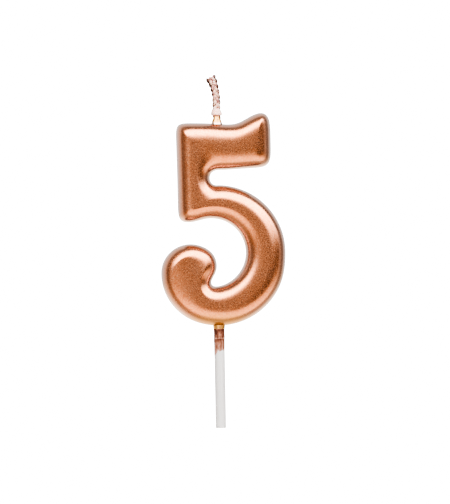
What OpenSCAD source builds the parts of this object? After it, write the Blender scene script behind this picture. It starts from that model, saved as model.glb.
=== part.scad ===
// Number birthday candle: a cast wax "5" with a metallic lacquer coat, a plaited wick and a plastic pick.
// Frame: X across the numeral, Y through its thickness (front faces -Y), +Z up.
// Origin: on the axis of the pick, level with the lowest point of the numeral. Millimetres.

/* [Casting] */
// Thickness of the numeral, front to back, at its crown
cast_t = 11; // [9:0.5:14]
// Width of the rounded shoulder, from the outline in to the flat crown
shoulder_w = 6.5; // [5:0.1:7]
// How square the shoulder is: 2 is a plain ellipse
shoulder_power = 2.3; // [1.8:0.1:3]
// Width of the flat land round the edge, where the two mould halves meet
land_w = 0.6; // [0.4:0.1:1.2]
// Thickness of the lacquer film
film_t = 0.15; // [0.1:0.01:0.25]

/* [Bowl] */
// Radius of the bowl's outer edge
bowl_r = 22.45; // [22:0.05:23]
// Straight stretch at the bowl's right, between its upper and lower curves
bowl_straight = 1.9; // [1:0.1:3]
// How far the bowl's centre is to the right of the pick
bowl_x = 0.2; // [0:0.1:1]
// Radius of the bowl's inner edge
inner_r = 11.45; // [11:0.05:12]
// Centre of the bowl's inner edge, left of the pick
inner_left = 2.05; // [1.8:0.05:2.5]
// Centre of the bowl's inner edge, above the numeral's lowest point
inner_z = 24.5; // [24:0.1:25]

/* [Hook and ball] */
// Radius of the outer edge where the bowl tightens into the hook
hook_r = 17.3; // [16.5:0.1:18]
// Radius of the ball's left side
ball_left_r = 9.6; // [9.2:0.1:10]
// Radius of the ball's top
ball_top_r = 10.6; // [10.2:0.1:11]
// Radius of the ball's right side
ball_right_r = 6.6; // [6.2:0.1:7]
// Radius of the tight inside corner at the neck
neck_r = 1.5; // [1.2:0.1:1.8]

/* [Stem and bar] */
// Height of the slot between the bar and the bowl
notch_h = 5.28; // [5:0.04:6]
// Height of the bar at the wick
bar_h = 15.6; // [14.5:0.1:17]
// Distance from the pick's axis to the left edge of the stem
stem_left = 13.25; // [12.8:0.05:13.6]
// Distance from the pick's axis to the right end of the bar
bar_right = 18.3; // [17.5:0.1:19]
// Height of the flag's crest above the bar's top edge
flag_h = 3.2; // [2.6:0.1:4]

/* [Wick] */
// Thickness of one strand of the plait
strand_d = 0.95; // [0.8:0.05:1]
// Length of one full turn of the plait
plait_pitch = 5.2; // [4.6:0.1:6.5]
// Length of wick that stands out of the wax
wick_out = 15.5; // [12:0.5:20]
// Length of wick cast into the bar
wick_in = 10; // [6:0.5:12]
// Radius of the bend near the wick's top
wick_bend_r = 18; // [14:1:40]

/* [Pick] */
// Diameter of the pick
pick_d = 3.5; // [3.2:0.1:4]
// Length of pick below the numeral
pick_out = 34; // [25:1:60]
// Length of pick cast into the bowl
pick_in = 9; // [6:0.5:10]
// Longest reach of the lacquer down the pick
overspray_h = 9.7; // [6:0.1:14]

/* [Hidden] */
$fn = 64;

copper = [0.80, 0.45, 0.30];
paraffin = [0.95, 0.93, 0.88];
cotton = [0.90, 0.78, 0.72];
white_plastic = [0.93, 0.92, 0.92];

cast_gap = 0.02;      // clearance left round a piece that is cast in
arc_step = 6;         // degrees between the points of an arc
across = 12;          // faces across the stroke

// ---- outline of the numeral, in the XZ plane ----

// Points along an arc
function arc(c, r, from, to) =
    let (n = ceil(abs(to - from) / arc_step))
    [for (i = [0:n]) let (a = from + (to - from) * i / n) c + r * [cos(a), sin(a)]];

// Centre of the arc of radius r2 that carries on smoothly, at angle a, from one of radius r1 about c1
function next_centre(c1, r1, r2, a) = c1 + (r1 - r2) * [cos(a), sin(a)];

hook_a = -112;        // where the bowl tightens into the hook
ball_a = 180;         // where the hook becomes the ball
ball_top_a = 110;     // where the ball's top starts
ball_right_a = 60;    // where the ball's right side starts
ball_end_a = 125;     // where the left side's last rib lies, just short of the top
neck_a = -20;         // where the ball's right side runs into the neck

bowl_low = [bowl_x, bowl_r];
bowl_high = bowl_low + [0, bowl_straight];
hook_c = next_centre(bowl_low, bowl_r, hook_r, hook_a);
ball_left_c = next_centre(hook_c, hook_r, ball_left_r, ball_a);
ball_top_c = next_centre(ball_left_c, ball_left_r, ball_top_r, ball_top_a);
ball_right_c = next_centre(ball_top_c, ball_top_r, ball_right_r, ball_right_a);
inner_c = [-inner_left, inner_z];
neck_c = [-inner_left + 1.1, inner_z - inner_r + neck_r];

notch_r = notch_h / 2;
notch_c = bowl_high + [0.1, bowl_r + notch_r];
bar_low = notch_c[1] + notch_r;           // bar's bottom edge, at the notch
bar_top = bar_low + bar_h;
bar_dip = 0.5;                            // how much the top edge falls towards the flag
bar_slope = 0.6;                          // how much the bottom edge rises towards the right
end_corner_r = 3.7;
end_corner_c = [bar_right - end_corner_r, bar_low + bar_slope + end_corner_r];
crest_r = 3.4;
crest_c = [bar_right - crest_r, bar_top + flag_h - crest_r];
flag_dip_r = 4.3;
flag_dip_c = [6.1, bar_top - bar_dip + flag_dip_r];
top_corner_r = 2.65;
top_corner_c = [top_corner_r - stem_left, bar_top + 0.2 - top_corner_r];
foot_r = 3.3;
foot_c = [foot_r + 0.2 - stem_left, inner_c[1] + inner_r - 1.2 + foot_r];

// Matching stretches of the stroke's two sides, from the flag round to the ball: [left-hand side,
// right-hand side, number of ribs]
stretches = [
    [arc(crest_c, crest_r, 0, 120),
     arc(end_corner_c, end_corner_r, 0, -90), 6],
    [concat([crest_c + crest_r * [cos(120), sin(120)]], arc(flag_dip_c, flag_dip_r, -60, -92),
            [[1, bar_top], top_corner_c + [0, top_corner_r]]),
     [end_corner_c - [0, end_corner_r], notch_c + [0, notch_r]], 12],
    [arc(top_corner_c, top_corner_r, 90, 180),
     arc(notch_c, notch_r, 90, 135), 4],
    [[top_corner_c - [top_corner_r, 0], foot_c - [foot_r, 0]],
     arc(notch_c, notch_r, 135, 225), 12],
    [arc(foot_c, foot_r, 180, 262),
     arc(notch_c, notch_r, 225, 270), 4],
    [concat([foot_c + foot_r * [cos(262), sin(262)]], arc(inner_c, inner_r, 108, 95)),
     arc(bowl_high, bowl_r, 90, 75), 5],
    [arc(inner_c, inner_r, 95, -84),
     concat(arc(bowl_high, bowl_r, 75, 0), arc(bowl_low, bowl_r, 0, -90)), 26],
    [concat(arc(neck_c, neck_r, -90, -204), [ball_right_c + ball_right_r * [cos(neck_a), sin(neck_a)]]),
     concat(arc(bowl_low, bowl_r, -90, hook_a), arc(hook_c, hook_r, hook_a, -150)), 8],
    [concat(arc(ball_right_c, ball_right_r, neck_a, ball_right_a),
            arc(ball_top_c, ball_top_r, ball_right_a, ball_top_a)),
     concat(arc(hook_c, hook_r, -150, -180), arc(ball_left_c, ball_left_r, ball_a, ball_end_a)), 12]
];

// Distance along a path to each of its points
function run(path) =
    [for (i = 0, s = 0; i < len(path); s = s + (i + 1 < len(path) ? norm(path[i + 1] - path[i]) : 0), i = i + 1) s];

// Point at distance s along a path, whose points are at the distances in at
function point_at(path, at, s, i = 0) =
    i + 2 < len(path) && s > at[i + 1] ? point_at(path, at, s, i + 1)
    : path[i] + (path[i + 1] - path[i]) * (s - at[i]) / max(at[i + 1] - at[i], 1e-6);

// A path without repeated points
function distinct(path) =
    [for (i = [0:len(path) - 1]) if (i == 0 || norm(path[i] - path[max(i - 1, 0)]) > 1e-4) path[i]];

// A path as n equal steps
function even(path, n) =
    let (p = distinct(path), at = run(p), whole = at[len(at) - 1])
    [for (i = [0:n]) point_at(p, at, whole * i / n)];

// One side of the stroke, as a point for each rib
function side(which) =
    [for (k = [0:len(stretches) - 1])
        let (p = even(stretches[k][which], stretches[k][2]))
        for (i = [k == 0 ? 0 : 1 : len(p) - 1]) p[i]];

// The two sides moved in by d, each point square to the edge
function inset(loop, d) =
    let (n = len(loop))
    [for (i = [0:n - 1])
        let (t = loop[(i + 1) % n] - loop[(i + n - 1) % n])
        loop[i] + d * [-t[1], t[0]] / norm(t)];

function slice(v, from, to) = [for (i = [from:to]) v[i]];
function reversed(v) = [for (i = [len(v) - 1:-1:0]) v[i]];

function segment_distance(p, a, b) =
    let (ab = b - a, t = min(1, max(0, (p - a) * ab / (ab * ab))))
    norm(p - a - t * ab);

function edge_distance(p, loop) =
    let (n = len(loop))
    min([for (i = [0:n - 1]) segment_distance(p, loop[i], loop[(i + 1) % n])]);

// Height of the front or back over the land, at distance d in from the edge
function crown(d, h, w) = h * pow(1 - pow(1 - min(d, w) / w, shoulder_power), 1 / shoulder_power);

// The pillow-shaped numeral, with its whole surface moved in by d
module pillow(d) {
    left = side(0);
    right = side(1);
    ribs = len(left);
    loop = inset(concat(left, reversed(right)), d);
    a = slice(loop, 0, ribs - 1);
    b = reversed(slice(loop, ribs, 2 * ribs - 1));
    h = (cast_t - land_w) / 2 - d;
    w = shoulder_w - d;
    flat = [for (i = [0:ribs - 1]) for (j = [0:across])
        a[i] + (b[i] - a[i]) * (1 - cos(180 * j / across)) / 2];
    rise = [for (k = [0:len(flat) - 1])
        let (i = floor(k / (across + 1)), j = k % (across + 1))
        i == 0 || i == ribs - 1 || j == 0 || j == across ? 0 : crown(edge_distance(flat[k], loop), h, w)];
    front = [for (k = [0:len(flat) - 1]) [flat[k][0], -land_w / 2 - rise[k], flat[k][1]]];
    back = [for (k = [0:len(flat) - 1]) [flat[k][0], land_w / 2 + rise[k], flat[k][1]]];
    row = across + 1;
    size = ribs * row;
    skin = [for (i = [0:ribs - 2]) for (j = [0:across - 1])
        let (k = i * row + j)
        each [[k, k + row + 1, k + row], [k, k + 1, k + row + 1]]];
    rim = concat([for (i = [0:ribs - 1]) i * row], [for (j = [1:across]) (ribs - 1) * row + j],
                 [for (i = [ribs - 2:-1:0]) i * row + across], [for (j = [across - 1:-1:1]) j]);
    land = [for (i = [0:len(rim) - 1])
        let (k = rim[i], m = rim[(i + 1) % len(rim)])
        each [[k, m + size, k + size], [k, m, m + size]]];
    polyhedron(concat(front, back),
               concat(skin, [for (f = skin) [f[0] + size, f[2] + size, f[1] + size]], land));
}

// ---- wick ----

wick_x = 0.45;                            // wick's centre, right of the pick's axis
wick_bend_z = 75;                         // where the wick starts to bend to the left
wick_base_z = bar_top;                    // where the wick leaves the bar
plait_half_w = 0.85;                      // how far a strand swings left and right
plait_half_t = 0.55;                      // how far a strand swings front and back
wick_hole_r = plait_half_w + strand_d / 2 + 0.04;
strand_sides = 8;
strand_rings = 44;

// Centre of the wick and its sideways direction, at distance s from its buried end
function wick_at(s) =
    let (z = wick_base_z - wick_in + s, bend = max(0, z - wick_bend_z) / wick_bend_r * 180 / PI)
    [[wick_x - wick_bend_r * (1 - cos(bend)), 0, min(z, wick_bend_z) + wick_bend_r * sin(bend)],
     [cos(bend), 0, sin(bend)]];

// Centre of one strand of the plait
function strand_at(s, phase) =
    let (w = wick_at(s), turn = 360 * s / plait_pitch + phase)
    w[0] + plait_half_w * sin(turn) * w[1] + plait_half_t * sin(2 * turn) * [0, 1, 0];

module strand(phase) {
    whole = wick_in + wick_out;
    step = whole / strand_rings;
    rings = [for (i = [0:strand_rings])
        let (s = i * step, c = strand_at(s, phase), ahead = strand_at(s + step / 2, phase),
             behind = strand_at(s - step / 2, phase), t = (ahead - behind) / norm(ahead - behind),
             u = cross([0, 1, 0], t) / norm(cross([0, 1, 0], t)), v = cross(t, u))
        for (k = [0:strand_sides - 1])
            let (a = 360 * k / strand_sides)
            c + strand_d / 2 * (cos(a) * u + sin(a) * v)];
    wall = [for (i = [0:strand_rings - 1]) for (k = [0:strand_sides - 1])
        let (m = (k + 1) % strand_sides, p = i * strand_sides, q = p + strand_sides)
        each [[p + k, q + k, q + m], [p + k, q + m, p + m]]];
    top = strand_rings * strand_sides;
    polyhedron(rings, concat(wall, [[for (k = [0:strand_sides - 1]) k]],
                             [[for (k = [strand_sides - 1:-1:0]) top + k]]));
}

module wick_strand_1() color(cotton) strand(0);
module wick_strand_2() color(cotton) strand(120);
module wick_strand_3() color(cotton) strand(240);

// Bell-shaped ring of wax round the wick, from height z up
module wick_ring(z, h, low_r, high_r)
    translate([wick_x, 0, z]) rotate_extrude() difference() {
        polygon([[wick_hole_r, 0], [low_r, 0], [low_r, 0.2], [high_r, h - 0.2],
                 [high_r - 0.1, h], [wick_hole_r, h]]);
        translate([low_r + 0.3, h * 0.65]) circle(r = 0.5);
    }

foot_h = 2.3;
bead_h = 2.3;
ring_gap = 0.15;

module wick_foot() color(copper) wick_ring(wick_base_z + 0.05, foot_h, 2.1, 1.6);
module wick_bead() color(paraffin) wick_ring(wick_base_z + 0.05 + foot_h + ring_gap, bead_h, 1.95, 1.55);

// ---- pick ----

pick_r = pick_d / 2;
tip_chamfer = 0.2;
barbs = 3;
barb_low_r = pick_r - 0.5;
barb_high_r = pick_r - 0.1;

// Barbed root that the wax grips, grown by g all round
module pick_root(g) {
    pitch = pick_in / barbs;
    for (i = [0:barbs - 1])
        translate([0, 0, i * pitch]) cylinder(h = pitch + g, r1 = barb_high_r + g, r2 = barb_low_r + g);
    translate([0, 0, pick_in]) cylinder(h = 0.4 + g, r = barb_low_r + g);
}

module pick() color(white_plastic) {
    translate([0, 0, tip_chamfer - pick_out]) cylinder(h = pick_out - tip_chamfer, r = pick_r);
    translate([0, 0, -pick_out]) cylinder(h = tip_chamfer, r1 = pick_r - tip_chamfer, r2 = pick_r);
    pick_root(0);
}

collar_h = 0.9;
collar_r = pick_r + 0.2;

// Wax drawn out of the casting round the pick
module pick_collar() color(copper) translate([0, 0, -collar_h]) difference() {
    cylinder(h = collar_h, r1 = pick_r + 0.08, r2 = collar_r);
    translate([0, 0, -1]) cylinder(h = collar_h + 2, r = pick_r + cast_gap);
}

overspray_t = 0.17;
overspray_tilt = 30;                      // slant of the overspray's lower edge

// Sleeve of lacquer that ran down the pick, with a slanted lower edge that is lowest at the left
module pick_overspray() color(copper) difference() {
    translate([0, 0, -overspray_h]) cylinder(h = overspray_h - collar_h, r = pick_r + overspray_t);
    translate([0, 0, -overspray_h - 1]) cylinder(h = overspray_h + 2, r = pick_r + cast_gap);
    translate([-pick_r - overspray_t, 0, -overspray_h]) rotate([0, -overspray_tilt, 0])
        translate([-10, -10, -20]) cube([30, 20, 20]);
}

// ---- casting and its coat ----

module wick_channel()
    translate([wick_x, 0, wick_base_z - wick_in]) cylinder(h = wick_in + 5, r = wick_hole_r);

module pick_socket() {
    pick_root(cast_gap);
    translate([0, 0, -1]) cylinder(h = 1.6, r = pick_r + cast_gap);
}

module wax_body() color(paraffin) difference() {
    pillow(film_t);
    wick_channel();
    pick_socket();
}

module lacquer_coat() color(copper) difference() {
    pillow(0);
    pillow(film_t);
    wick_channel();
    pick_socket();
}

wax_body();
lacquer_coat();
wick_strand_1();
wick_strand_2();
wick_strand_3();
wick_foot();
wick_bead();
pick();
pick_collar();
pick_overspray();
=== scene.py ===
import math

import bmesh
import bpy
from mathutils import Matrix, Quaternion, Vector


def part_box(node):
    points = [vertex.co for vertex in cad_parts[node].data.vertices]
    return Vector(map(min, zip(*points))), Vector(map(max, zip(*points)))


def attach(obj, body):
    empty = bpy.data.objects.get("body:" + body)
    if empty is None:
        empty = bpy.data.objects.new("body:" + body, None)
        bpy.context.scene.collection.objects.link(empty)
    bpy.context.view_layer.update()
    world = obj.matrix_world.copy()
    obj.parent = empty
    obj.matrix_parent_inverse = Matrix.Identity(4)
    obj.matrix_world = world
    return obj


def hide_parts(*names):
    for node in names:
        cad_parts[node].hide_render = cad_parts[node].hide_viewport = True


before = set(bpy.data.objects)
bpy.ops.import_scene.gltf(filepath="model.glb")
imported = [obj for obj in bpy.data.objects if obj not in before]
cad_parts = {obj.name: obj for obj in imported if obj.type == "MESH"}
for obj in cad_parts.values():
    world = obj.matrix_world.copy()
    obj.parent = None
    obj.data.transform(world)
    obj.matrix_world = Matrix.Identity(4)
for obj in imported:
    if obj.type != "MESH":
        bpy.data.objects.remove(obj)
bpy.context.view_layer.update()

MM = 0.001
COAT_LOW, COAT_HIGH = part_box("lacquer_coat")
PICK_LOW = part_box("pick")[0]


# ---- small tools for working by hand ----

def deselect():
    if bpy.context.mode != "OBJECT":
        bpy.ops.object.mode_set(mode="OBJECT")
    bpy.ops.object.select_all(action="DESELECT")


def take(piece):
    """Makes a piece the one being worked on."""
    deselect()
    piece.select_set(True)
    bpy.context.view_layer.objects.active = piece


def edit(piece):
    take(piece)
    bpy.ops.object.mode_set(mode="EDIT")


def select_where(piece, test, kind="VERT"):
    """Selects the points, edges or faces of the piece in edit mode whose middle passes the test."""
    bpy.ops.mesh.select_mode(type=kind)
    bpy.ops.mesh.select_all(action="DESELECT")
    mesh = bmesh.from_edit_mesh(piece.data)
    if kind == "VERT":
        for v in mesh.verts:
            v.select = test(v.co)
    elif kind == "EDGE":
        for e in mesh.edges:
            e.select_set(test((e.verts[0].co + e.verts[1].co) / 2, e))
    else:
        for f in mesh.faces:
            f.select_set(test(f.calc_center_median(), f))
    mesh.select_flush_mode()
    bmesh.update_edit_mesh(piece.data)


def named(name):
    """Names the piece that was just added, and its mesh."""
    piece = bpy.context.active_object
    piece.name = name
    piece.data.name = name
    return piece


def apply_place(piece):
    """Puts the piece's place into its mesh, so that its object sits at the origin."""
    take(piece)
    bpy.ops.object.transform_apply(location=True, rotation=True, scale=True)


def finish_with(piece, kind, **settings):
    """Adds a modifier and applies it."""
    take(piece)
    modifier = piece.modifiers.new(kind.lower(), kind)
    for key, value in settings.items():
        setattr(modifier, key, value)
    bpy.ops.object.modifier_apply(modifier=modifier.name)


def move(x, y, z):
    bpy.ops.transform.translate(value=(x, y, z))


def turn(angle, axis, about):
    """Turns the selection by the right-hand rule. With no window the operator turns the other way."""
    bpy.ops.transform.rotate(value=-angle, orient_axis=axis, center_override=about)


def scale(factors, about):
    bpy.ops.transform.resize(value=factors, center_override=about)


# ---- camera and floor ----

VIEW_HEIGHT = 0.168                  # how much of the candle's plane the camera takes in, top to bottom
AIM = Vector((0.00242, 0, 0.02463))
SENSOR_SIZE = 36
CLIP = (0.1, 50)
CAMERA_DISTANCE = 4.0
CAMERA_HEIGHT = 0.0002               # above the floor, so that the floor is seen edge on
CAMERA_ROLL = math.radians(1.05)     # the candle leans to the left by this much
FLOOR_Z = PICK_LOW.z
FLOOR_RADIUS = 2.0
FLOOR_SIDES = 96


def add_camera():
    data = bpy.data.cameras.new("camera")
    data.sensor_fit = "VERTICAL"
    data.sensor_height = SENSOR_SIZE
    data.sensor_width = SENSOR_SIZE
    camera = bpy.data.objects.new("camera", data)
    bpy.context.scene.collection.objects.link(camera)
    camera.location = (AIM.x, -CAMERA_DISTANCE, FLOOR_Z + CAMERA_HEIGHT)
    data.lens = data.sensor_height * CAMERA_DISTANCE / VIEW_HEIGHT
    look = (AIM - camera.location).to_track_quat("-Z", "Y")
    camera.rotation_mode = "QUATERNION"
    camera.rotation_quaternion = look @ Quaternion((0, 0, 1), -CAMERA_ROLL)
    data.clip_start, data.clip_end = CLIP
    bpy.context.scene.camera = camera


add_camera()


def add_floor():
    bpy.ops.mesh.primitive_circle_add(vertices=FLOOR_SIDES, radius=FLOOR_RADIUS, fill_type="NGON",
                                      location=(0, 0, FLOOR_Z))
    floor = named("floor")
    apply_place(floor)
    return floor


# ---- outline of the numeral, in millimetres across (x) and up (z) ----

# centres and radii of the numeral's round stretches
BOWL_X = 0.2
BOWL_R = 22.45
BOWL_STRAIGHT = 1.9
BOWL_LOW = (BOWL_X, BOWL_R)
BOWL_HIGH = (BOWL_X, BOWL_R + BOWL_STRAIGHT)
INNER = (-2.05, 24.5)
INNER_R = 11.45
HOOK = (-1.73, 17.68)
HOOK_R = 17.3
NECK = (-0.95, 14.55)
NECK_R = 1.5
BALL_LEFT = (-9.43, 17.68)
BALL_LEFT_R = 9.6
BALL_TOP = (-9.09, 16.74)
BALL_TOP_R = 10.6
BALL_RIGHT = (-7.09, 20.2)
BALL_RIGHT_R = 6.6
NOTCH = (0.3, 49.44)
NOTCH_R = 2.64


def on_arc(centre, radius, angle, step):
    """A cage point for an arc. The smoothed surface pulls in by an amount set by the angle between points."""
    a = math.radians(angle)
    r = radius * 6 / (4 + 2 * math.cos(math.radians(step)))
    return (centre[0] + r * math.cos(a), centre[1] + r * math.sin(a))


def notch(angle):
    return on_arc(NOTCH, NOTCH_R, angle, 28)


def bowl_out(angle):
    return on_arc(BOWL_HIGH if angle > 0 else BOWL_LOW, BOWL_R, angle, 16)


def bowl_in(angle):
    return on_arc(INNER, INNER_R, angle, 20)


def hook(angle):
    return on_arc(HOOK, HOOK_R, angle, 15)


def neck(angle):
    return on_arc(NECK, NECK_R, angle, 42)


def ball_right(angle):
    return on_arc(BALL_RIGHT, BALL_RIGHT_R, angle, 30)


def ball_top(angle):
    return on_arc(BALL_TOP, BALL_TOP_R, angle, 22)


def ball_left(angle):
    return on_arc(BALL_LEFT, BALL_LEFT_R, angle, 22)


# the stroke as ribs from the flag round to the ball, each from its left-hand to its right-hand side
RIBS = [
    ((18.3, 70.0), (18.35, 52.85)),
    ((14.9, 71.6), (12.3, 52.6)),
    ((10.0, 68.9), (8.2, 52.4)),
    ((6.3, 66.85), (5.0, 52.25)),
    ((-1.0, 67.75), (2.6, 52.15)),
    ((-8.4, 67.95), (0.9, 52.2)),
    ((-13.4, 68.05), notch(112)),
    ((-13.3, 63.0), notch(140)),
    ((-13.2, 56.0), notch(165)),
    ((-13.1, 48.5), notch(195)),
    ((-13.1, 40.7), notch(222)),
    ((-13.1, 34.45), notch(250)),
    ((-7.4, 34.85), bowl_out(88)),
    (bowl_in(102), bowl_out(77)),
    (bowl_in(84), bowl_out(64)),
    (bowl_in(64), bowl_out(50)),
    (bowl_in(43), bowl_out(35)),
    (bowl_in(22), bowl_out(19)),
    (bowl_in(2), bowl_out(3)),
    (bowl_in(-18), bowl_out(-15)),
    (bowl_in(-38), bowl_out(-32)),
    (bowl_in(-57), bowl_out(-50)),
    (bowl_in(-74), bowl_out(-68)),
    (neck(255), bowl_out(-86)),
    (neck(213), bowl_out(-104)),
    (neck(170), hook(-119)),
    ((-1.75, 16.3), hook(-134)),
    (ball_right(-12), hook(-149)),
    (ball_right(18), hook(-163)),
    (ball_right(50), hook(-177)),
    (ball_top(78), ball_left(165)),
    (ball_top(98), ball_left(145)),
]
CREST_COLUMN = 0.42          # how far in from each side the two rows along the crown lie
# how the cage steps in from the edge and rises: each inset's width and height
SHOULDER = [(0.06, 1.17), (0.29, 1.13), (0.70, 1.20), (1.12, 1.04), (2.00, 0.66)]
CROWN_RISE = 0.32
END_BOW = 0.95               # how much of the way to the ball's edge the crown's last points go
END_SPREAD = 1.7             # and how far apart they are then set
END_DRAW_BACK = 1.9          # how far the points before them are drawn back
SEAM_WIDTH = 0.15
SEAM_HEIGHT = 0.16
FILM = 0.15                  # the lacquer over the wax
CORE_INSET = 0.1
# how close a point has to be to a place to count as lying there
ON_ROW = 0.1
ON_CREST = 0.2
ON_SPOT = 0.01
MERGE = 0.001
COAT_LEVELS = 3
CORE_LEVELS = 2


def place_row(old, new):
    """Moves, turns and stretches the selected row of points from one rib's place to another's."""
    old_a, old_b = (Vector((p[0], 0, p[1])) * MM for p in old)
    new_a, new_b = (Vector((p[0], 0, p[1])) * MM for p in new)
    shift = (new_a + new_b - old_a - old_b) / 2
    move(*shift)
    middle = (new_a + new_b) / 2
    was, now = old_b - old_a, new_b - new_a
    turned = math.atan2(now.z, now.x) - math.atan2(was.z, was.x)
    turn(-turned, "Y", middle)
    longer = now.length / was.length
    scale((longer, longer, longer), middle)


def model_numeral_cage():
    """The front half of the numeral's cage, still flat: a strip drawn along the stroke, rib by rib."""
    deselect()
    bpy.ops.mesh.primitive_grid_add(x_subdivisions=3, y_subdivisions=1, size=2 * MM,
                                    rotation=(math.pi / 2, 0, 0))
    cage = named("numeral_cage")
    apply_place(cage)
    edit(cage)
    # slide the two middle rows of points to their share of the width
    third = 1 / 3
    for sign in (-1, 1):
        select_where(cage, lambda co: abs(co.x - sign * third * MM) < ON_ROW * MM)
        move(sign * (1 - 2 * CREST_COLUMN - third) * MM, 0, 0)
    low, high = ((-1, -1), (1, -1)), ((-1, 1), (1, 1))
    select_where(cage, lambda co: co.z < 0)
    place_row(low, RIBS[0])
    select_where(cage, lambda co: abs(co.z - MM) < ON_ROW * MM)
    place_row(high, RIBS[1])
    for old, new in zip(RIBS[1:], RIBS[2:]):
        bpy.ops.mesh.extrude_edges_move()
        place_row(old, new)
    bow_last_row(cage)
    bpy.ops.mesh.select_all(action="SELECT")
    bpy.ops.mesh.normals_make_consistent(inside=False)
    raise_crown()
    return cage


def raise_crown():
    """Lifts every point that isn't on the strip's edge, so that the face stays slightly domed."""
    bpy.ops.mesh.select_mode(type="VERT")
    bpy.ops.mesh.select_all(action="SELECT")
    bpy.ops.mesh.region_to_loop()
    bpy.ops.mesh.select_mode(type="VERT")
    bpy.ops.mesh.select_all(action="INVERT")
    move(0, -CROWN_RISE * MM, 0)


def crest_points(cage, rib):
    """Selects a rib's two points along the crown."""
    a, b = (Vector((p[0], 0, p[1])) for p in rib)
    near = [a + (b - a) * CREST_COLUMN, b - (b - a) * CREST_COLUMN]
    select_where(cage, lambda co: min((co / MM - p).length for p in near) < ON_CREST)


def bow_last_row(cage):
    """Pushes the middle of the last rib out to the ball's edge, and keeps the crown clear of that end."""
    a, b = (Vector((p[0], 0, p[1])) for p in RIBS[-1])
    out = Vector((-(b - a).z, 0, (b - a).x)).normalized()
    centre = Vector((BALL_LEFT[0], 0, BALL_LEFT[1]))
    middle = (a + b) / 2
    if out.dot(middle - centre) < 0:
        out = -out
    reach = on_arc((0, 0), BALL_LEFT_R, 0, 15)[0]
    bow = reach - (middle - centre).length
    crest_points(cage, RIBS[-1])
    move(*(out * bow * MM * END_BOW))
    scale((END_SPREAD, END_SPREAD, END_SPREAD), (middle + out * bow * END_BOW) * MM)
    crest_points(cage, RIBS[-2])
    move(*(-out * END_DRAW_BACK * MM))


def round_shoulders(cage):
    """Insets the flat strip step by step and mirrors it, which makes the closed body of the numeral."""
    edit(cage)
    bpy.ops.mesh.select_all(action="SELECT")
    for width, rise in SHOULDER:
        bpy.ops.mesh.inset(thickness=width * MM, depth=rise * MM, use_even_offset=True, use_boundary=True)
    finish_with(cage, "MIRROR", use_axis=(False, True, False), use_clip=True, merge_threshold=ON_SPOT * MM)
    edit(cage)
    bpy.ops.mesh.select_all(action="SELECT")
    bpy.ops.mesh.remove_doubles(threshold=MERGE * MM)
    bpy.ops.mesh.normals_make_consistent(inside=False)
    bpy.ops.object.mode_set(mode="OBJECT")


def raise_seam(cage):
    """The low ridge that the two halves of the mould leave all round."""
    edit(cage)
    select_where(cage, lambda co, e: max(abs(v.co.y) for v in e.verts) < ON_SPOT * MM, "EDGE")
    bpy.ops.mesh.bevel(offset=SEAM_WIDTH * MM, segments=2, affect="EDGES")
    select_where(cage, lambda co, e: max(abs(v.co.y) for v in e.verts) < ON_SPOT * MM, "EDGE")
    bpy.ops.transform.shrink_fatten(value=SEAM_HEIGHT * MM)
    bpy.ops.object.mode_set(mode="OBJECT")


def smooth(piece, levels):
    """Turns a cage into the smooth surface it stands for."""
    finish_with(piece, "SUBSURF", levels=levels, render_levels=levels)
    take(piece)
    bpy.ops.object.shade_smooth()


def copy_of(piece, name):
    take(piece)
    bpy.ops.object.duplicate()
    return named(name)


def fit_to_box(piece, low, high):
    """Stretches a piece by the little that makes its box the given one."""
    corners = [Vector(c) for c in piece.bound_box]
    was_low = Vector([min(c[i] for c in corners) for i in range(3)])
    was_high = Vector([max(c[i] for c in corners) for i in range(3)])
    edit(piece)
    bpy.ops.mesh.select_all(action="SELECT")
    move(*((low + high) / 2 - (was_low + was_high) / 2))
    was, now = was_high - was_low, high - low
    scale((now.x / was.x, now.y / was.y, now.z / was.z), (low + high) / 2)
    bpy.ops.object.mode_set(mode="OBJECT")


def thinner(piece, by):
    """Draws a skin in along its normals."""
    finish_with(piece, "DISPLACE", strength=-by * MM, mid_level=0)


def model_numeral():
    """The lacquer coat and, from a copy of the same cage, the wax core just inside it."""
    cage = model_numeral_cage()
    round_shoulders(cage)
    core = copy_of(cage, "wax_core")
    raise_seam(cage)
    cage.name = "copper_coat"
    smooth(cage, COAT_LEVELS)
    smooth(core, CORE_LEVELS)
    fit_to_box(cage, COAT_LOW, COAT_HIGH)
    slim = Vector((1, 1, 1)) * CORE_INSET * MM
    fit_to_box(core, COAT_LOW + slim, COAT_HIGH - slim)
    thinner(core, FILM)
    return cage, core


# ---- wick, in millimetres ----

WICK_X = 0.45
WICK_START = 57.7
WICK_BASE = 67.7
WICK_BEND = 75.0
WICK_BEND_R = 18.0
WICK_LENGTH = 25.4
WICK_LOOSE = 20.5                    # where the plait starts to come unlaid
PLAIT_PITCH = 5.2
PLAIT_WIDE = 0.90
PLAIT_DEEP = 0.55
STRAND_R = 0.58
STRAND_SIDES = 12
STRAND_RINGS = 66
PLY_TWIST = math.radians(24)         # how far the plies of a strand turn from ring to ring
PLY_DENT = 0.80
PLIES = 3
LOOSE_SPREAD = 0.5                   # how much wider and deeper the plait is at its very tip
LOOSE_DEPTH = 0.3
STRAND_DOME = 0.16
STRAND_PHASES = (0, 120, 240)
WICK_SPOTS = 200


def wick_at(s):
    """Middle of the wick and its sideways direction, at a distance from its buried end."""
    z = WICK_START + s
    bend = max(0, z - WICK_BEND) / WICK_BEND_R
    across = Vector((math.cos(bend), 0, math.sin(bend)))
    return Vector((WICK_X - WICK_BEND_R * (1 - math.cos(bend)), 0,
                   min(z, WICK_BEND) + WICK_BEND_R * math.sin(bend))), across


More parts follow.
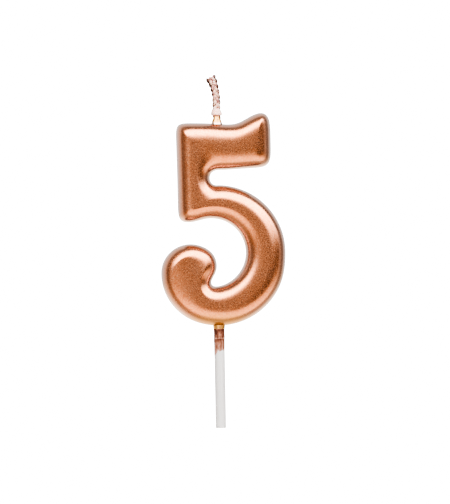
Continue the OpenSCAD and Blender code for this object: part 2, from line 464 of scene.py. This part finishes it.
def strand_at(s, phase):
    """Middle of one strand. The last of it comes unlaid, so the strands spread apart."""
    middle, across = wick_at(s)
    turned = math.tau * s / PLAIT_PITCH + phase
    loose = max(0.0, s - WICK_LOOSE) / (WICK_LENGTH - WICK_LOOSE)
    wide = PLAIT_WIDE * (1 + LOOSE_SPREAD * loose) * math.sin(turned)
    deep = PLAIT_DEEP * (1 + LOOSE_DEPTH * loose) * math.sin(2 * turned)
    return middle + wide * across + Vector((0, deep, 0))


def turn_from(old, new, about):
    """Turns the selection by the turn that takes one direction to another."""
    for angle, axis in zip(old.rotation_difference(new).to_euler("XYZ"), "XYZ"):
        turn(angle, axis, about)


def turn_about(axis, angle, about):
    """Turns the selection round a free axis, as three turns round the fixed ones."""
    for part, name in zip(Quaternion(axis, angle).to_euler("XYZ"), "XYZ"):
        turn(part, name, about)


def dent_plies(strand):
    """Presses in every fourth point of the first ring, which leaves three plies."""
    points = [v.index for v in strand.data.vertices]
    for index in points[::STRAND_SIDES // PLIES]:
        at = strand.data.vertices[index].co.copy()
        edit(strand)
        select_where(strand, lambda co: (co - at).length < ON_SPOT * MM)
        scale((PLY_DENT, PLY_DENT, PLY_DENT), (0, 0, 0))
        bpy.ops.object.mode_set(mode="OBJECT")


def model_strand(name, phase, swell):
    """One strand of the plait: a three-ply ring drawn along its path, a little slacker towards the top."""
    deselect()
    bpy.ops.mesh.primitive_circle_add(vertices=STRAND_SIDES, radius=STRAND_R * MM)
    strand = named(name)
    dent_plies(strand)
    edit(strand)
    bpy.ops.mesh.select_all(action="SELECT")
    step = WICK_LENGTH / STRAND_RINGS
    here, facing = Vector((0, 0, 0)), Vector((0, 0, 1))
    for ring in range(STRAND_RINGS + 1):
        s = ring * step
        there = strand_at(s, phase) * MM
        ahead = (strand_at(s + step / 2, phase) - strand_at(s - step / 2, phase)).normalized()
        if ring:
            bpy.ops.mesh.extrude_edges_move()
        move(*(there - here))
        turn_from(facing, ahead, there)
        turn_about(ahead, PLY_TWIST, there)
        fuller = swell(s) / swell(max(0, s - step))
        scale((fuller, fuller, fuller), there)
        here, facing = there, ahead
    return strand


def close_ends(piece, dome):
    """Closes the open ends of a tube with a small inset and a rounded tip."""
    edit(piece)
    bpy.ops.mesh.select_mode(type="EDGE")
    bpy.ops.mesh.select_all(action="DESELECT")
    bpy.ops.mesh.select_non_manifold()
    bpy.ops.mesh.edge_face_add()
    bpy.ops.mesh.select_all(action="SELECT")
    bpy.ops.mesh.normals_make_consistent(inside=False)
    select_where(piece, lambda co, f: len(f.verts) > 4, "FACE")
    bpy.ops.mesh.inset(thickness=dome * MM, depth=dome * MM * 0.5, use_individual=True)
    bpy.ops.object.mode_set(mode="OBJECT")


def strand_swell(s):
    """Slimmer where the wax grips it, and slightly unlaid at the tip."""
    out = s - (WICK_BASE - WICK_START)
    return 1 + 0.10 * max(0.0, min(1.0, out / 6)) + 0.12 * max(0.0, min(1.0, (out - 13) / 2))


def mark_sides(strand):
    """Notes how far each point lies to the plait's left or right: 0 along its middle, 1 at its sides."""
    spots = [wick_at(WICK_LENGTH * i / WICK_SPOTS) for i in range(WICK_SPOTS + 1)]
    aside = strand.data.attributes.new("aside", "FLOAT", "POINT")
    for v in strand.data.vertices:
        point = v.co / MM
        middle, across = min(spots, key=lambda spot: (point - spot[0]).length)
        aside.data[v.index].value = abs((point - middle).dot(across)) / (PLAIT_WIDE + STRAND_R)


def model_wick():
    """The three strands, alike but for where each starts in the plait."""
    strands = []
    for number, phase in enumerate(STRAND_PHASES, 1):
        strand = model_strand(f"wick_strand_{number}_cotton", math.radians(phase), strand_swell)
        close_ends(strand, STRAND_DOME)
        smooth(strand, 1)
        mark_sides(strand)
        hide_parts(f"wick_strand_{number}")
        strands.append(strand)
    return strands


# ---- wax round the wick, in millimetres: each ring is a radius and a height ----

FOOT_LOW = 67.1
FOOT_RINGS = [(2.3, 0.0), (2.1, 0.4), (1.98, 0.7), (1.90, 1.1), (1.75, 1.5), (1.45, 1.95), (1.25, 2.4),
              (1.22, 2.85), (1.1, 2.95)]
FOOT_GROOVE = 0.74
BEAD_LOW = 70.18
BEAD_RINGS = [(1.35, 0.0), (1.86, 0.1), (2.0, 0.45), (1.82, 1.05), (1.62, 1.6), (1.42, 2.05), (1.15, 2.3)]
BEAD_GROOVE = 0.93
BEAD_LEAN = -0.06                    # the bead leans this way as the wick does
LOBE_COUNT = 4
GROOVE_SHARP = 0.8
WAX_DOME = 0.35


def model_wax_bell(name, base, rings, grooved, groove_turn, lean):
    """A bell of wax run down the wick: rings drawn up from its foot, with grooves pressed in where it ran."""
    deselect()
    low_r = rings[0][0]
    middle = Vector((WICK_X, 0, base)) * MM
    bpy.ops.mesh.primitive_circle_add(vertices=LOBE_COUNT * 4, radius=low_r * MM, location=middle,
                                      rotation=(0, 0, groove_turn))
    bell = named(name)
    apply_place(bell)
    edit(bell)
    bpy.ops.mesh.select_all(action="SELECT")
    for (was_r, was_z), (r, z) in zip(rings, rings[1:]):
        bpy.ops.mesh.extrude_edges_move()
        move(lean * (z - was_z) * MM, 0, (z - was_z) * MM)
        about = middle + Vector((lean * z, 0, z)) * MM
        scale((r / was_r, r / was_r, 1), about)
    groove_lines(bell, middle, grooved, groove_turn, lean)
    close_ends(bell, WAX_DOME)
    smooth(bell, 2)
    return bell


def groove_lines(bell, middle, grooved, groove_turn, lean):
    """Presses the points between two lobes in towards the wick."""
    def in_groove(co):
        away = co - middle
        turned = math.atan2(away.y, away.x - lean * away.z) - groove_turn
        return math.cos(LOBE_COUNT * turned) > GROOVE_SHARP
    select_where(bell, in_groove)
    scale((grooved, grooved, 1), middle)


def model_wax():
    foot = model_wax_bell("wick_foot_wax", FOOT_LOW, FOOT_RINGS, FOOT_GROOVE, math.radians(-90), 0.0)
    bead = model_wax_bell("wick_bead_wax", BEAD_LOW, BEAD_RINGS, BEAD_GROOVE, math.radians(-60), BEAD_LEAN)
    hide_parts("wick_foot")
    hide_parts("wick_bead")
    return foot, bead


# ---- lacquer on the pick, in millimetres: each ring of the collar is a radius and a height ----

COLLAR_RINGS = [(1.80, -0.95), (1.88, -0.9), (1.91, -0.6), (1.94, -0.3), (1.99, 0.0), (2.06, 0.3)]
SLEEVE_R = 1.90
SLEEVE_TOP = -0.9
SLEEVE_LOW = -8.6
SLEEVE_SLANT = 1.0                   # how much lower the left side is than the middle
SLEEVE_SIDES = 48
SLEEVE_RINGS = 12
# how full the sleeve is at each ring: a bead of lacquer dried round it part way down
SLEEVE_BULGES = [1.03, 1.0, 0.99, 0.99, 1.0, 1.05, 1.0, 0.99, 0.985, 0.985, 0.98, 0.98, 0.975]
SLEEVE_WALL = 0.13
COLLAR_SIDES = 32
COLLAR_WALL = 0.04


def model_collar():
    """Wax and lacquer drawn out round the top of the pick, as a small flare."""
    deselect()
    r, z = COLLAR_RINGS[0]
    bpy.ops.mesh.primitive_circle_add(vertices=COLLAR_SIDES, radius=r * MM, location=(0, 0, z * MM))
    collar = named("pick_collar_lacquer")
    apply_place(collar)
    edit(collar)
    bpy.ops.mesh.select_all(action="SELECT")
    for (was_r, was_z), (r, z) in zip(COLLAR_RINGS, COLLAR_RINGS[1:]):
        bpy.ops.mesh.extrude_edges_move()
        move(0, 0, (z - was_z) * MM)
        scale((r / was_r, r / was_r, 1), (0, 0, z * MM))
    bpy.ops.object.mode_set(mode="OBJECT")
    smooth(collar, 1)
    finish_with(collar, "SOLIDIFY", thickness=COLLAR_WALL * MM, offset=1)
    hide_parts("pick_collar")
    return collar


def ragged(angle):
    """Height of the sleeve's lower edge, which slants down to the left and ends in short runs."""
    runs = 0.35 * math.sin(3 * angle + 0.6) + 0.28 * math.sin(7 * angle + 2.1) + 0.2 * math.sin(13 * angle)
    return SLEEVE_LOW + SLEEVE_SLANT * math.cos(angle) + runs


def model_sleeve():
    """The lacquer that ran down the pick: a thin uneven sleeve with a ragged, slanted lower edge."""
    deselect()
    bpy.ops.mesh.primitive_circle_add(vertices=SLEEVE_SIDES, radius=SLEEVE_R * MM,
                                      location=(0, 0, SLEEVE_TOP * MM))
    sleeve = named("pick_overspray_lacquer")
    apply_place(sleeve)
    edit(sleeve)
    bpy.ops.mesh.select_all(action="SELECT")
    drop = (SLEEVE_TOP - SLEEVE_LOW) / SLEEVE_RINGS
    was = SLEEVE_BULGES[0]
    for ring in range(SLEEVE_RINGS):
        now = SLEEVE_BULGES[ring + 1]
        bpy.ops.mesh.extrude_edges_move()
        move(0, 0, -drop * MM)
        scale((now / was, now / was, 1), (0, 0, 0))
        was = now
    bpy.ops.object.mode_set(mode="OBJECT")
    pull_down_edge(sleeve)
    finish_with(sleeve, "SOLIDIFY", thickness=SLEEVE_WALL * MM, offset=1)
    smooth(sleeve, 1)
    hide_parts("pick_overspray")
    return sleeve


def pull_down_edge(sleeve):
    """Slides each upright line of points so that its lowest one lies on the ragged edge."""
    for side in range(SLEEVE_SIDES):
        angle = math.tau * side / SLEEVE_SIDES
        edit(sleeve)
        select_where(sleeve, lambda co: abs(math.remainder(math.atan2(co.y, co.x) - angle, math.tau)) < 0.01)
        longer = (SLEEVE_TOP - ragged(angle)) / (SLEEVE_TOP - SLEEVE_LOW)
        scale((1, 1, longer), (0, 0, SLEEVE_TOP * MM))
    bpy.ops.object.mode_set(mode="OBJECT")


coat, wax = model_numeral()
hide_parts("lacquer_coat")
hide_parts("wax_body")
strands = model_wick()
foot, bead = model_wax()
collar = model_collar()
sleeve = model_sleeve()
for piece in (coat, wax, *strands, foot, bead, collar, sleeve):
    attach(piece, "root")


# ---- finishes: grain sizes, depths and reaches in millimetres ----

COPPER_DEEP = (0.93, 0.345, 0.16)
COPPER_PALE = (0.96, 0.385, 0.20)
GRAIN_SIZE = 0.42
GRAIN_DARK = (0.64, 0.22, 0.095)
GRAIN_BRIGHT = (1.0, 0.55, 0.35)
GRAIN_SHARE = 0.5
# paler, less saturated copper round the sides: partly thinner spray, partly a painted sheen standing in for
# the pale reflection along the edges
PALE_SIDE_SHEEN_COPPER = (0.84, 0.63, 0.54)
SIDE_SHEEN_REACH = (2.0, 4.8)              # from the middle of the thickness out to the face
POOLED_COPPER = (0.90, 0.47, 0.14)
POOL_REACH = (0.5, 4.5)              # up from the bottom of the numeral
FOOT_REACH = (2.2, 3.2)              # out from the wick
FOOT_HEIGHT = (67.5, 68.2)
PATCH_SHARE = 0.9                    # how far the pale side sheen and the pooled colours hide the paint's own
COPPER_SATIN = (0.21, 0.28)
POOL_DULL = 0.15
WAVE_DEPTH = 0.03
FLAKE_DEPTH = 0.005

COTTON_RED = (0.50, 0.21, 0.19)
COTTON_CREAM = (0.86, 0.58, 0.45)
# dark patches down the plait's sides: copper spray, and painted shade where the strands turn away at the
# edges
COTTON_SPRAY_AND_SHADE = (0.12, 0.065, 0.055)
SPRAY_AND_SHADE_EDGE = (0.48, 0.74)            # where the spray and the painted side shade start and are full, as a share of the half-width
SPRAY_AND_SHADE_WANDER = 0.3
BEAD_PINK = (0.94, 0.52, 0.44)
BEAD_PALE = (0.96, 0.66, 0.58)
CORE_DEEP = (0.90, 0.84, 0.76)
CORE_PALE = (0.94, 0.89, 0.83)
PLASTIC_DEEP = (0.60, 0.58, 0.575)
PLASTIC_PALE = (0.66, 0.645, 0.64)
PAPER_DEEP = (0.80, 0.74, 0.65)
PAPER_PALE = (0.82, 0.76, 0.67)

RUN_COLOURS = [(0.34, (0.22, 0.08, 0.055)), (0.50, (0.40, 0.17, 0.105)), (0.70, (0.56, 0.31, 0.25))]
RUN_FADE = (-9.0, -4.0)              # the runs thin out between these heights
RUN_RING = 4.1                       # how far down the pick the dried ring lies
RUN_RING_WIDTH = (0.12, 0.3)
WHITE = (1.0, 1.0, 1.0)


def new_material(name):
    """A material with one shader, and the place on the piece that its patterns follow."""
    material = bpy.data.materials.new(name)
    material.use_nodes = True
    tree = material.node_tree
    tree.nodes.clear()
    output = tree.nodes.new("ShaderNodeOutputMaterial")
    shader = tree.nodes.new("ShaderNodeBsdfPrincipled")
    tree.links.new(shader.outputs["BSDF"], output.inputs["Surface"])
    place = tree.nodes.new("ShaderNodeTexCoord").outputs["Object"]
    return material, tree, shader, place


def noise(tree, place, grain, detail=2.0, rough=0.5):
    """Noise whose spots are about the given number of millimetres across."""
    node = tree.nodes.new("ShaderNodeTexNoise")
    node.inputs["Scale"].default_value = 1 / (grain * MM)
    node.inputs["Detail"].default_value = detail
    node.inputs["Roughness"].default_value = rough
    tree.links.new(place, node.inputs["Vector"])
    return node.outputs["Fac"]


def ramp(tree, value, stops):
    """A colour that passes through the given stops as the value goes from 0 to 1."""
    node = tree.nodes.new("ShaderNodeValToRGB")
    band = node.color_ramp
    while len(band.elements) < len(stops):
        band.elements.new(0.5)
    for element, (position, colour) in zip(band.elements, stops):
        element.position = position
        element.color = (*colour, 1)
    tree.links.new(value, node.inputs["Fac"])
    return node.outputs["Color"]


def two_tone(tree, value, first, second, start=0.3, end=0.7):
    return ramp(tree, value, [(start, first), (end, second)])


def between(tree, value, low, high, start=0.3, end=0.7):
    """Goes from low to high as the value goes from start to end, and stays level outside them."""
    node = tree.nodes.new("ShaderNodeMapRange")
    node.inputs["From Min"].default_value = start
    node.inputs["From Max"].default_value = end
    node.inputs["To Min"].default_value = low
    node.inputs["To Max"].default_value = high
    tree.links.new(value, node.inputs["Value"])
    return node.outputs["Result"]


def bump(tree, height, depth, strength=1.0, under=None):
    node = tree.nodes.new("ShaderNodeBump")
    node.inputs["Distance"].default_value = depth * MM
    node.inputs["Strength"].default_value = strength
    tree.links.new(height, node.inputs["Height"])
    if under:
        tree.links.new(under, node.inputs["Normal"])
    return node.outputs["Normal"]


def mix(tree, share, first, second):
    """Goes from the first colour to the second as the share goes from 0 to 1."""
    node = tree.nodes.new("ShaderNodeMix")
    node.data_type = "RGBA"
    for socket, value in zip((node.inputs["Factor"], node.inputs[6], node.inputs[7]), (share, first, second)):
        if isinstance(value, tuple):
            socket.default_value = (*value, 1)
        elif isinstance(value, float):
            socket.default_value = value
        else:
            tree.links.new(value, socket)
    return node.outputs[2]


def arithmetic(tree, operation, first, second=0.0):
    node = tree.nodes.new("ShaderNodeMath")
    node.operation = operation
    for socket, value in zip(node.inputs, (first, second)):
        if isinstance(value, (int, float)):
            socket.default_value = value
        else:
            tree.links.new(value, socket)
    return node.outputs["Value"]


def along(tree, place, axis):
    """One coordinate of a place or direction."""
    split = tree.nodes.new("ShaderNodeSeparateXYZ")
    tree.links.new(place, split.inputs["Vector"])
    return split.outputs[axis]


def pooled_share(tree, place):
    """Where the lacquer ran and pooled: at the bottom of the numeral, and on the wax foot round the wick."""
    height = along(tree, place, "Z")
    at_bottom = between(tree, height, 1.0, 0.0, POOL_REACH[0] * MM, POOL_REACH[1] * MM)
    from_wick = arithmetic(tree, "SUBTRACT", along(tree, place, "X"), WICK_X * MM)
    from_wick = arithmetic(tree, "ABSOLUTE", from_wick)
    near_wick = between(tree, from_wick, 1.0, 0.0, FOOT_REACH[0] * MM, FOOT_REACH[1] * MM)
    above_bar = between(tree, height, 0.0, 1.0, FOOT_HEIGHT[0] * MM, FOOT_HEIGHT[1] * MM)
    on_foot = arithmetic(tree, "MULTIPLY", near_wick, above_bar)
    return arithmetic(tree, "MAXIMUM", at_bottom, on_foot)


def copper_lacquer():
    """Rose copper paint: fine metal flake in a clear binder, sprayed over wax that isn't quite flat."""
    material, tree, shader, place = new_material("copper_lacquer")
    binder = two_tone(tree, noise(tree, place, 5.0), COPPER_DEEP, COPPER_PALE)
    grains = noise(tree, place, GRAIN_SIZE, 4, 0.7)
    dark_share = between(tree, grains, GRAIN_SHARE, 0.0, 0.38, 0.54)
    dark_grains = mix(tree, dark_share, binder, GRAIN_DARK)
    bright_share = between(tree, grains, 0.0, GRAIN_SHARE, 0.48, 0.64)
    face = mix(tree, bright_share, dark_grains, GRAIN_BRIGHT)
    # paler round the sides, partly where the spray reached less and partly a painted pale sheen that stands
    # in for the edges' reflections, and yellower where it ran and pooled
    side = arithmetic(tree, "ABSOLUTE", along(tree, place, "Y"))
    thin_spray_and_sheen = between(tree, side, 1.0, 0.0, SIDE_SHEEN_REACH[0] * MM, SIDE_SHEEN_REACH[1] * MM)
    with_side_sheen = mix(tree, arithmetic(tree, "MULTIPLY", thin_spray_and_sheen, PATCH_SHARE), face, PALE_SIDE_SHEEN_COPPER)
    pooled = pooled_share(tree, place)
    tint = mix(tree, arithmetic(tree, "MULTIPLY", pooled, PATCH_SHARE), with_side_sheen, POOLED_COPPER)
    tree.links.new(tint, shader.inputs["Base Color"])
    dull = arithmetic(tree, "MULTIPLY", pooled, POOL_DULL)
    satin = between(tree, noise(tree, place, 0.5), *COPPER_SATIN)
    tree.links.new(arithmetic(tree, "ADD", satin, dull), shader.inputs["Roughness"])
    waves = bump(tree, noise(tree, place, 6.0), WAVE_DEPTH)
    flake = bump(tree, grains, FLAKE_DEPTH, 1.0, waves)
    tree.links.new(flake, shader.inputs["Normal"])
    shader.inputs["Metallic"].default_value = 1.0
    shader.inputs["Coat Weight"].default_value = 0.5
    shader.inputs["Coat Roughness"].default_value = 0.2
    return material


def put_on(piece, material):
    piece.data.materials.clear()
    piece.data.materials.append(material)


def waxed_cotton():
    """Pinkish cream cotton, stiff with wax, with dark patches down both sides: copper spray, and painted
    shade where the strands turn away at the plait's edges.
    """
    material, tree, shader, place = new_material("wick_cotton")
    shade = two_tone(tree, noise(tree, place, 1.2), COTTON_RED, COTTON_CREAM, 0.40, 0.56)
    mark = tree.nodes.new("ShaderNodeAttribute")
    mark.attribute_name = "aside"
    # darker down both sides of the plait: copper spray, and painted shade at the edges
    wander = between(tree, noise(tree, place, 1.1, 3), -SPRAY_AND_SHADE_WANDER, SPRAY_AND_SHADE_WANDER)
    patchy = arithmetic(tree, "ADD", mark.outputs["Fac"], wander)
    dark = between(tree, patchy, 0.0, 1.0, *SPRAY_AND_SHADE_EDGE)
    tree.links.new(mix(tree, dark, shade, COTTON_SPRAY_AND_SHADE), shader.inputs["Base Color"])
    tree.links.new(between(tree, noise(tree, place, 0.3), 0.3, 0.6), shader.inputs["Roughness"])
    tree.links.new(arithmetic(tree, "MULTIPLY", dark, 0.5), shader.inputs["Metallic"])
    fibres = bump(tree, noise(tree, place, 0.12, 4), 0.03)
    tree.links.new(fibres, shader.inputs["Normal"])
    shader.inputs["Coat Weight"].default_value = 0.3
    shader.inputs["Coat Roughness"].default_value = 0.2
    return material


def bead_wax():
    """Clear paraffin with a little pink in it."""
    material, tree, shader, place = new_material("wick_wax")
    shade = two_tone(tree, noise(tree, place, 1.5), BEAD_PINK, BEAD_PALE)
    tree.links.new(shade, shader.inputs["Base Color"])
    tree.links.new(between(tree, noise(tree, place, 0.8), 0.18, 0.35), shader.inputs["Roughness"])
    tree.links.new(bump(tree, noise(tree, place, 0.9), 0.04), shader.inputs["Normal"])
    shader.inputs["Subsurface Weight"].default_value = 0.5
    shader.inputs["Subsurface Radius"].default_value = (1.0, 0.6, 0.5)
    shader.inputs["Subsurface Scale"].default_value = 0.8 * MM
    return material


def core_wax():
    """Plain cream paraffin, hidden under the lacquer."""
    material, tree, shader, place = new_material("paraffin_wax")
    shade = two_tone(tree, noise(tree, place, 4.0), CORE_DEEP, CORE_PALE)
    tree.links.new(shade, shader.inputs["Base Color"])
    tree.links.new(between(tree, noise(tree, place, 1.5), 0.35, 0.5), shader.inputs["Roughness"])
    tree.links.new(bump(tree, noise(tree, place, 2.0), 0.03), shader.inputs["Normal"])
    shader.inputs["Subsurface Weight"].default_value = 0.3
    shader.inputs["Subsurface Scale"].default_value = 1.0 * MM
    return material


def stretched(tree, place, along_z):
    """The place with its height squeezed, which draws a pattern out into upright streaks."""
    node = tree.nodes.new("ShaderNodeMapping")
    node.inputs["Scale"].default_value = (1, 1, along_z)
    tree.links.new(place, node.inputs["Vector"])
    return node.outputs["Vector"]


def pick_plastic():
    """White plastic drawn through a die, with faint lines down its length."""
    material, tree, shader, place = new_material("white_plastic")
    lines = noise(tree, stretched(tree, place, 0.03), 0.5, 2)
    shade = two_tone(tree, lines, PLASTIC_DEEP, PLASTIC_PALE)
    tree.links.new(shade, shader.inputs["Base Color"])
    tree.links.new(between(tree, noise(tree, place, 1.0), 0.35, 0.5), shader.inputs["Roughness"])
    tree.links.new(bump(tree, lines, 0.02), shader.inputs["Normal"])
    return material


def run_lacquer():
    """Thin patchy copper lacquer: brown where it dried in runs, pink where the plastic shows through."""
    material, tree, shader, place = new_material("thin_lacquer")
    runs = noise(tree, stretched(tree, place, 0.5), 0.9, 3)
    height = along(tree, place, "Z")
    thinning = between(tree, height, 0.15, -0.08, RUN_FADE[0] * MM, RUN_FADE[1] * MM)
    from_ring = arithmetic(tree, "ABSOLUTE", arithmetic(tree, "ADD", height, RUN_RING * MM))
    ring = between(tree, from_ring, 0.2, 0.0, RUN_RING_WIDTH[0] * MM, RUN_RING_WIDTH[1] * MM)
    patches = arithmetic(tree, "ADD", arithmetic(tree, "ADD", runs, thinning), ring)
    tree.links.new(ramp(tree, patches, RUN_COLOURS), shader.inputs["Base Color"])
    tree.links.new(between(tree, noise(tree, place, 0.6), 0.3, 0.5), shader.inputs["Roughness"])
    tree.links.new(between(tree, patches, 0.8, 0.2), shader.inputs["Metallic"])
    tree.links.new(bump(tree, runs, 0.08), shader.inputs["Normal"])
    return material


copper = copper_lacquer()
put_on(coat, copper)
put_on(foot, copper)
put_on(collar, copper)
put_on(wax, core_wax())
cotton = waxed_cotton()
for strand in strands:
    put_on(strand, cotton)
put_on(bead, bead_wax())
put_on(sleeve, run_lacquer())
put_on(bpy.data.objects["pick"], pick_plastic())


# ---- light ----

WALL_WHITE = 6.5                      # the wall behind, as the camera sees it
ROOM_SWING = math.radians(20)         # the room is set a little to the candle's left
# brightness of the room by direction: -1 is in front of the candle, 1 is behind it
ROOM = [(-1.0, 0.09), (-0.80, 0.13), (-0.62, 0.42), (-0.50, 0.35), (-0.34, 0.22), (0.02, 0.22),
        (0.25, 0.60), (1.0, 0.78)]
# the overhead arc of soft light: by the same direction, by height round the front-to-back line,
# and kept off what is straight in front
ARC_LEVEL = 4.2
ARC_DEPTH = [(-0.54, 1.0), (-0.46, 0.0)]
ARC_HEIGHT = [(0.2, 0.0), (0.65, 1.0)]
ARC_GUARD = [(-1.0, 0.0), (-0.985, 0.04), (-0.95, 0.35), (-0.9, 1.0)]
# the warm table top below, by the same direction and by how far down; it stands in for the floor,
# which is left out of reflections
TABLE_TINT = (1.0, 0.90, 0.76)
TABLE_LEVEL = 1.4
TABLE_DEPTH = [(-0.93, 0.0), (-0.895, 1.0), (-0.60, 1.0), (-0.45, 0.2), (0.2, 0.2), (1.0, 0.6)]
TABLE_HEIGHT = [(0.15, 0.0), (0.7, 1.0)]
TABLE_SEEN = 0.001                    # above this level a direction takes the table's tint
# light that has bounced off the candle once already comes back fainter, on the paths this deep
SECOND_BOUNCE = 0.5
SECOND_DEPTH = 2.5


def level_by(tree, value, stops):
    """A grey level that follows a value from -1 to 1."""
    share = between(tree, value, 0, 1, -1, 1)
    return ramp(tree, share, [((at + 1) / 2, (level, level, level)) for at, level in stops])


def room_levels(tree):
    """How bright the room and the table are in each direction."""
    swung = tree.nodes.new("ShaderNodeMapping")
    swung.inputs["Rotation"].default_value = (0, 0, -ROOM_SWING)
    direction = tree.nodes.new("ShaderNodeTexCoord").outputs["Generated"]
    tree.links.new(direction, swung.inputs["Vector"])
    depth = along(tree, swung.outputs["Vector"], "Y")
    ahead = along(tree, direction, "Y")
    ahead_squared = arithmetic(tree, "MULTIPLY", ahead, ahead)
    out = arithmetic(tree, "SQRT", arithmetic(tree, "SUBTRACT", 1.0, ahead_squared))
    height = arithmetic(tree, "DIVIDE", along(tree, direction, "Z"), out)
    arc = arithmetic(tree, "MULTIPLY", level_by(tree, depth, ARC_DEPTH), level_by(tree, height, ARC_HEIGHT))
    arc = arithmetic(tree, "MULTIPLY", arc, level_by(tree, ahead, ARC_GUARD))
    arc = arithmetic(tree, "MULTIPLY", arc, ARC_LEVEL)
    below = arithmetic(tree, "MULTIPLY", height, -1.0)
    lit, low = level_by(tree, depth, TABLE_DEPTH), level_by(tree, below, TABLE_HEIGHT)
    table = arithmetic(tree, "MULTIPLY", arithmetic(tree, "MULTIPLY", lit, low), TABLE_LEVEL)
    return arithmetic(tree, "ADD", arc, level_by(tree, depth, ROOM)), table


def light_the_room():
    """Dark sides, a lit wall behind, a dim front, an arc of soft light overhead, a warm table below."""
    world = bpy.data.worlds.new("studio")
    bpy.context.scene.world = world
    world.use_nodes = True
    tree = world.node_tree
    tree.nodes.clear()
    output = tree.nodes.new("ShaderNodeOutputWorld")
    room = tree.nodes.new("ShaderNodeBackground")
    wall = tree.nodes.new("ShaderNodeBackground")
    swap = tree.nodes.new("ShaderNodeMixShader")
    seen = tree.nodes.new("ShaderNodeLightPath")
    tree.links.new(seen.outputs["Is Camera Ray"], swap.inputs["Fac"])
    tree.links.new(room.outputs["Background"], swap.inputs[1])
    tree.links.new(wall.outputs["Background"], swap.inputs[2])
    tree.links.new(swap.outputs["Shader"], output.inputs["Surface"])
    wall.inputs["Strength"].default_value = WALL_WHITE
    grey, table = room_levels(tree)
    warm = mix(tree, arithmetic(tree, "GREATER_THAN", table, TABLE_SEEN), WHITE, TABLE_TINT)
    tree.links.new(warm, room.inputs["Color"])
    again = arithmetic(tree, "GREATER_THAN", seen.outputs["Ray Depth"], SECOND_DEPTH)
    kept = between(tree, again, 1.0, SECOND_BOUNCE, 0, 1)
    level = arithmetic(tree, "MULTIPLY", arithmetic(tree, "ADD", grey, table), kept)
    tree.links.new(level, room.inputs["Strength"])


SOFTBOX_LIFT = math.radians(48)
SOFTBOX_DISTANCE = 0.6
SOFTBOX_SIZE = (0.5, 0.39)
SOFTBOX_POWER = 1.5


def add_softbox():
    """The lamp behind the arc, which lights the matt things: the pick, the wick and the floor."""
    data = bpy.data.lights.new("softbox", "AREA")
    data.shape = "RECTANGLE"
    data.size, data.size_y = SOFTBOX_SIZE
    data.energy = SOFTBOX_POWER
    light = bpy.data.objects.new("softbox", data)
    bpy.context.scene.collection.objects.link(light)
    towards = Vector((0, -math.cos(SOFTBOX_LIFT), math.sin(SOFTBOX_LIFT)))
    light.location = (COAT_LOW + COAT_HIGH) / 2 + towards * SOFTBOX_DISTANCE
    light.rotation_mode = "QUATERNION"
    light.rotation_quaternion = (-towards).to_track_quat("-Z", "Y")
    light.visible_camera = False
    light.visible_glossy = False


FLOOR_GLOW = 2.5


def floor_paper():
    """Pale paper. The glow makes it as white as the wall, where it is seen edge on."""
    material, tree, shader, place = new_material("floor_paper")
    shade = two_tone(tree, noise(tree, place, 40.0), PAPER_DEEP, PAPER_PALE)
    tree.links.new(shade, shader.inputs["Base Color"])
    shader.inputs["Roughness"].default_value = 0.6
    seen = tree.nodes.new("ShaderNodeLightPath")
    glow = arithmetic(tree, "MULTIPLY", seen.outputs["Is Camera Ray"], FLOOR_GLOW)
    tree.links.new(glow, shader.inputs["Emission Strength"])
    shader.inputs["Emission Color"].default_value = (*WHITE, 1)
    return material


light_the_room()
add_softbox()
floor = add_floor()
put_on(floor, floor_paper())
# the table in the room's light stands in for the floor in what the copper reflects
floor.visible_glossy = False
floor.visible_shadow = False

bpy.context.scene.view_settings.view_transform = "AgX"
bpy.context.scene.view_settings.look = "AgX - Very High Contrast"
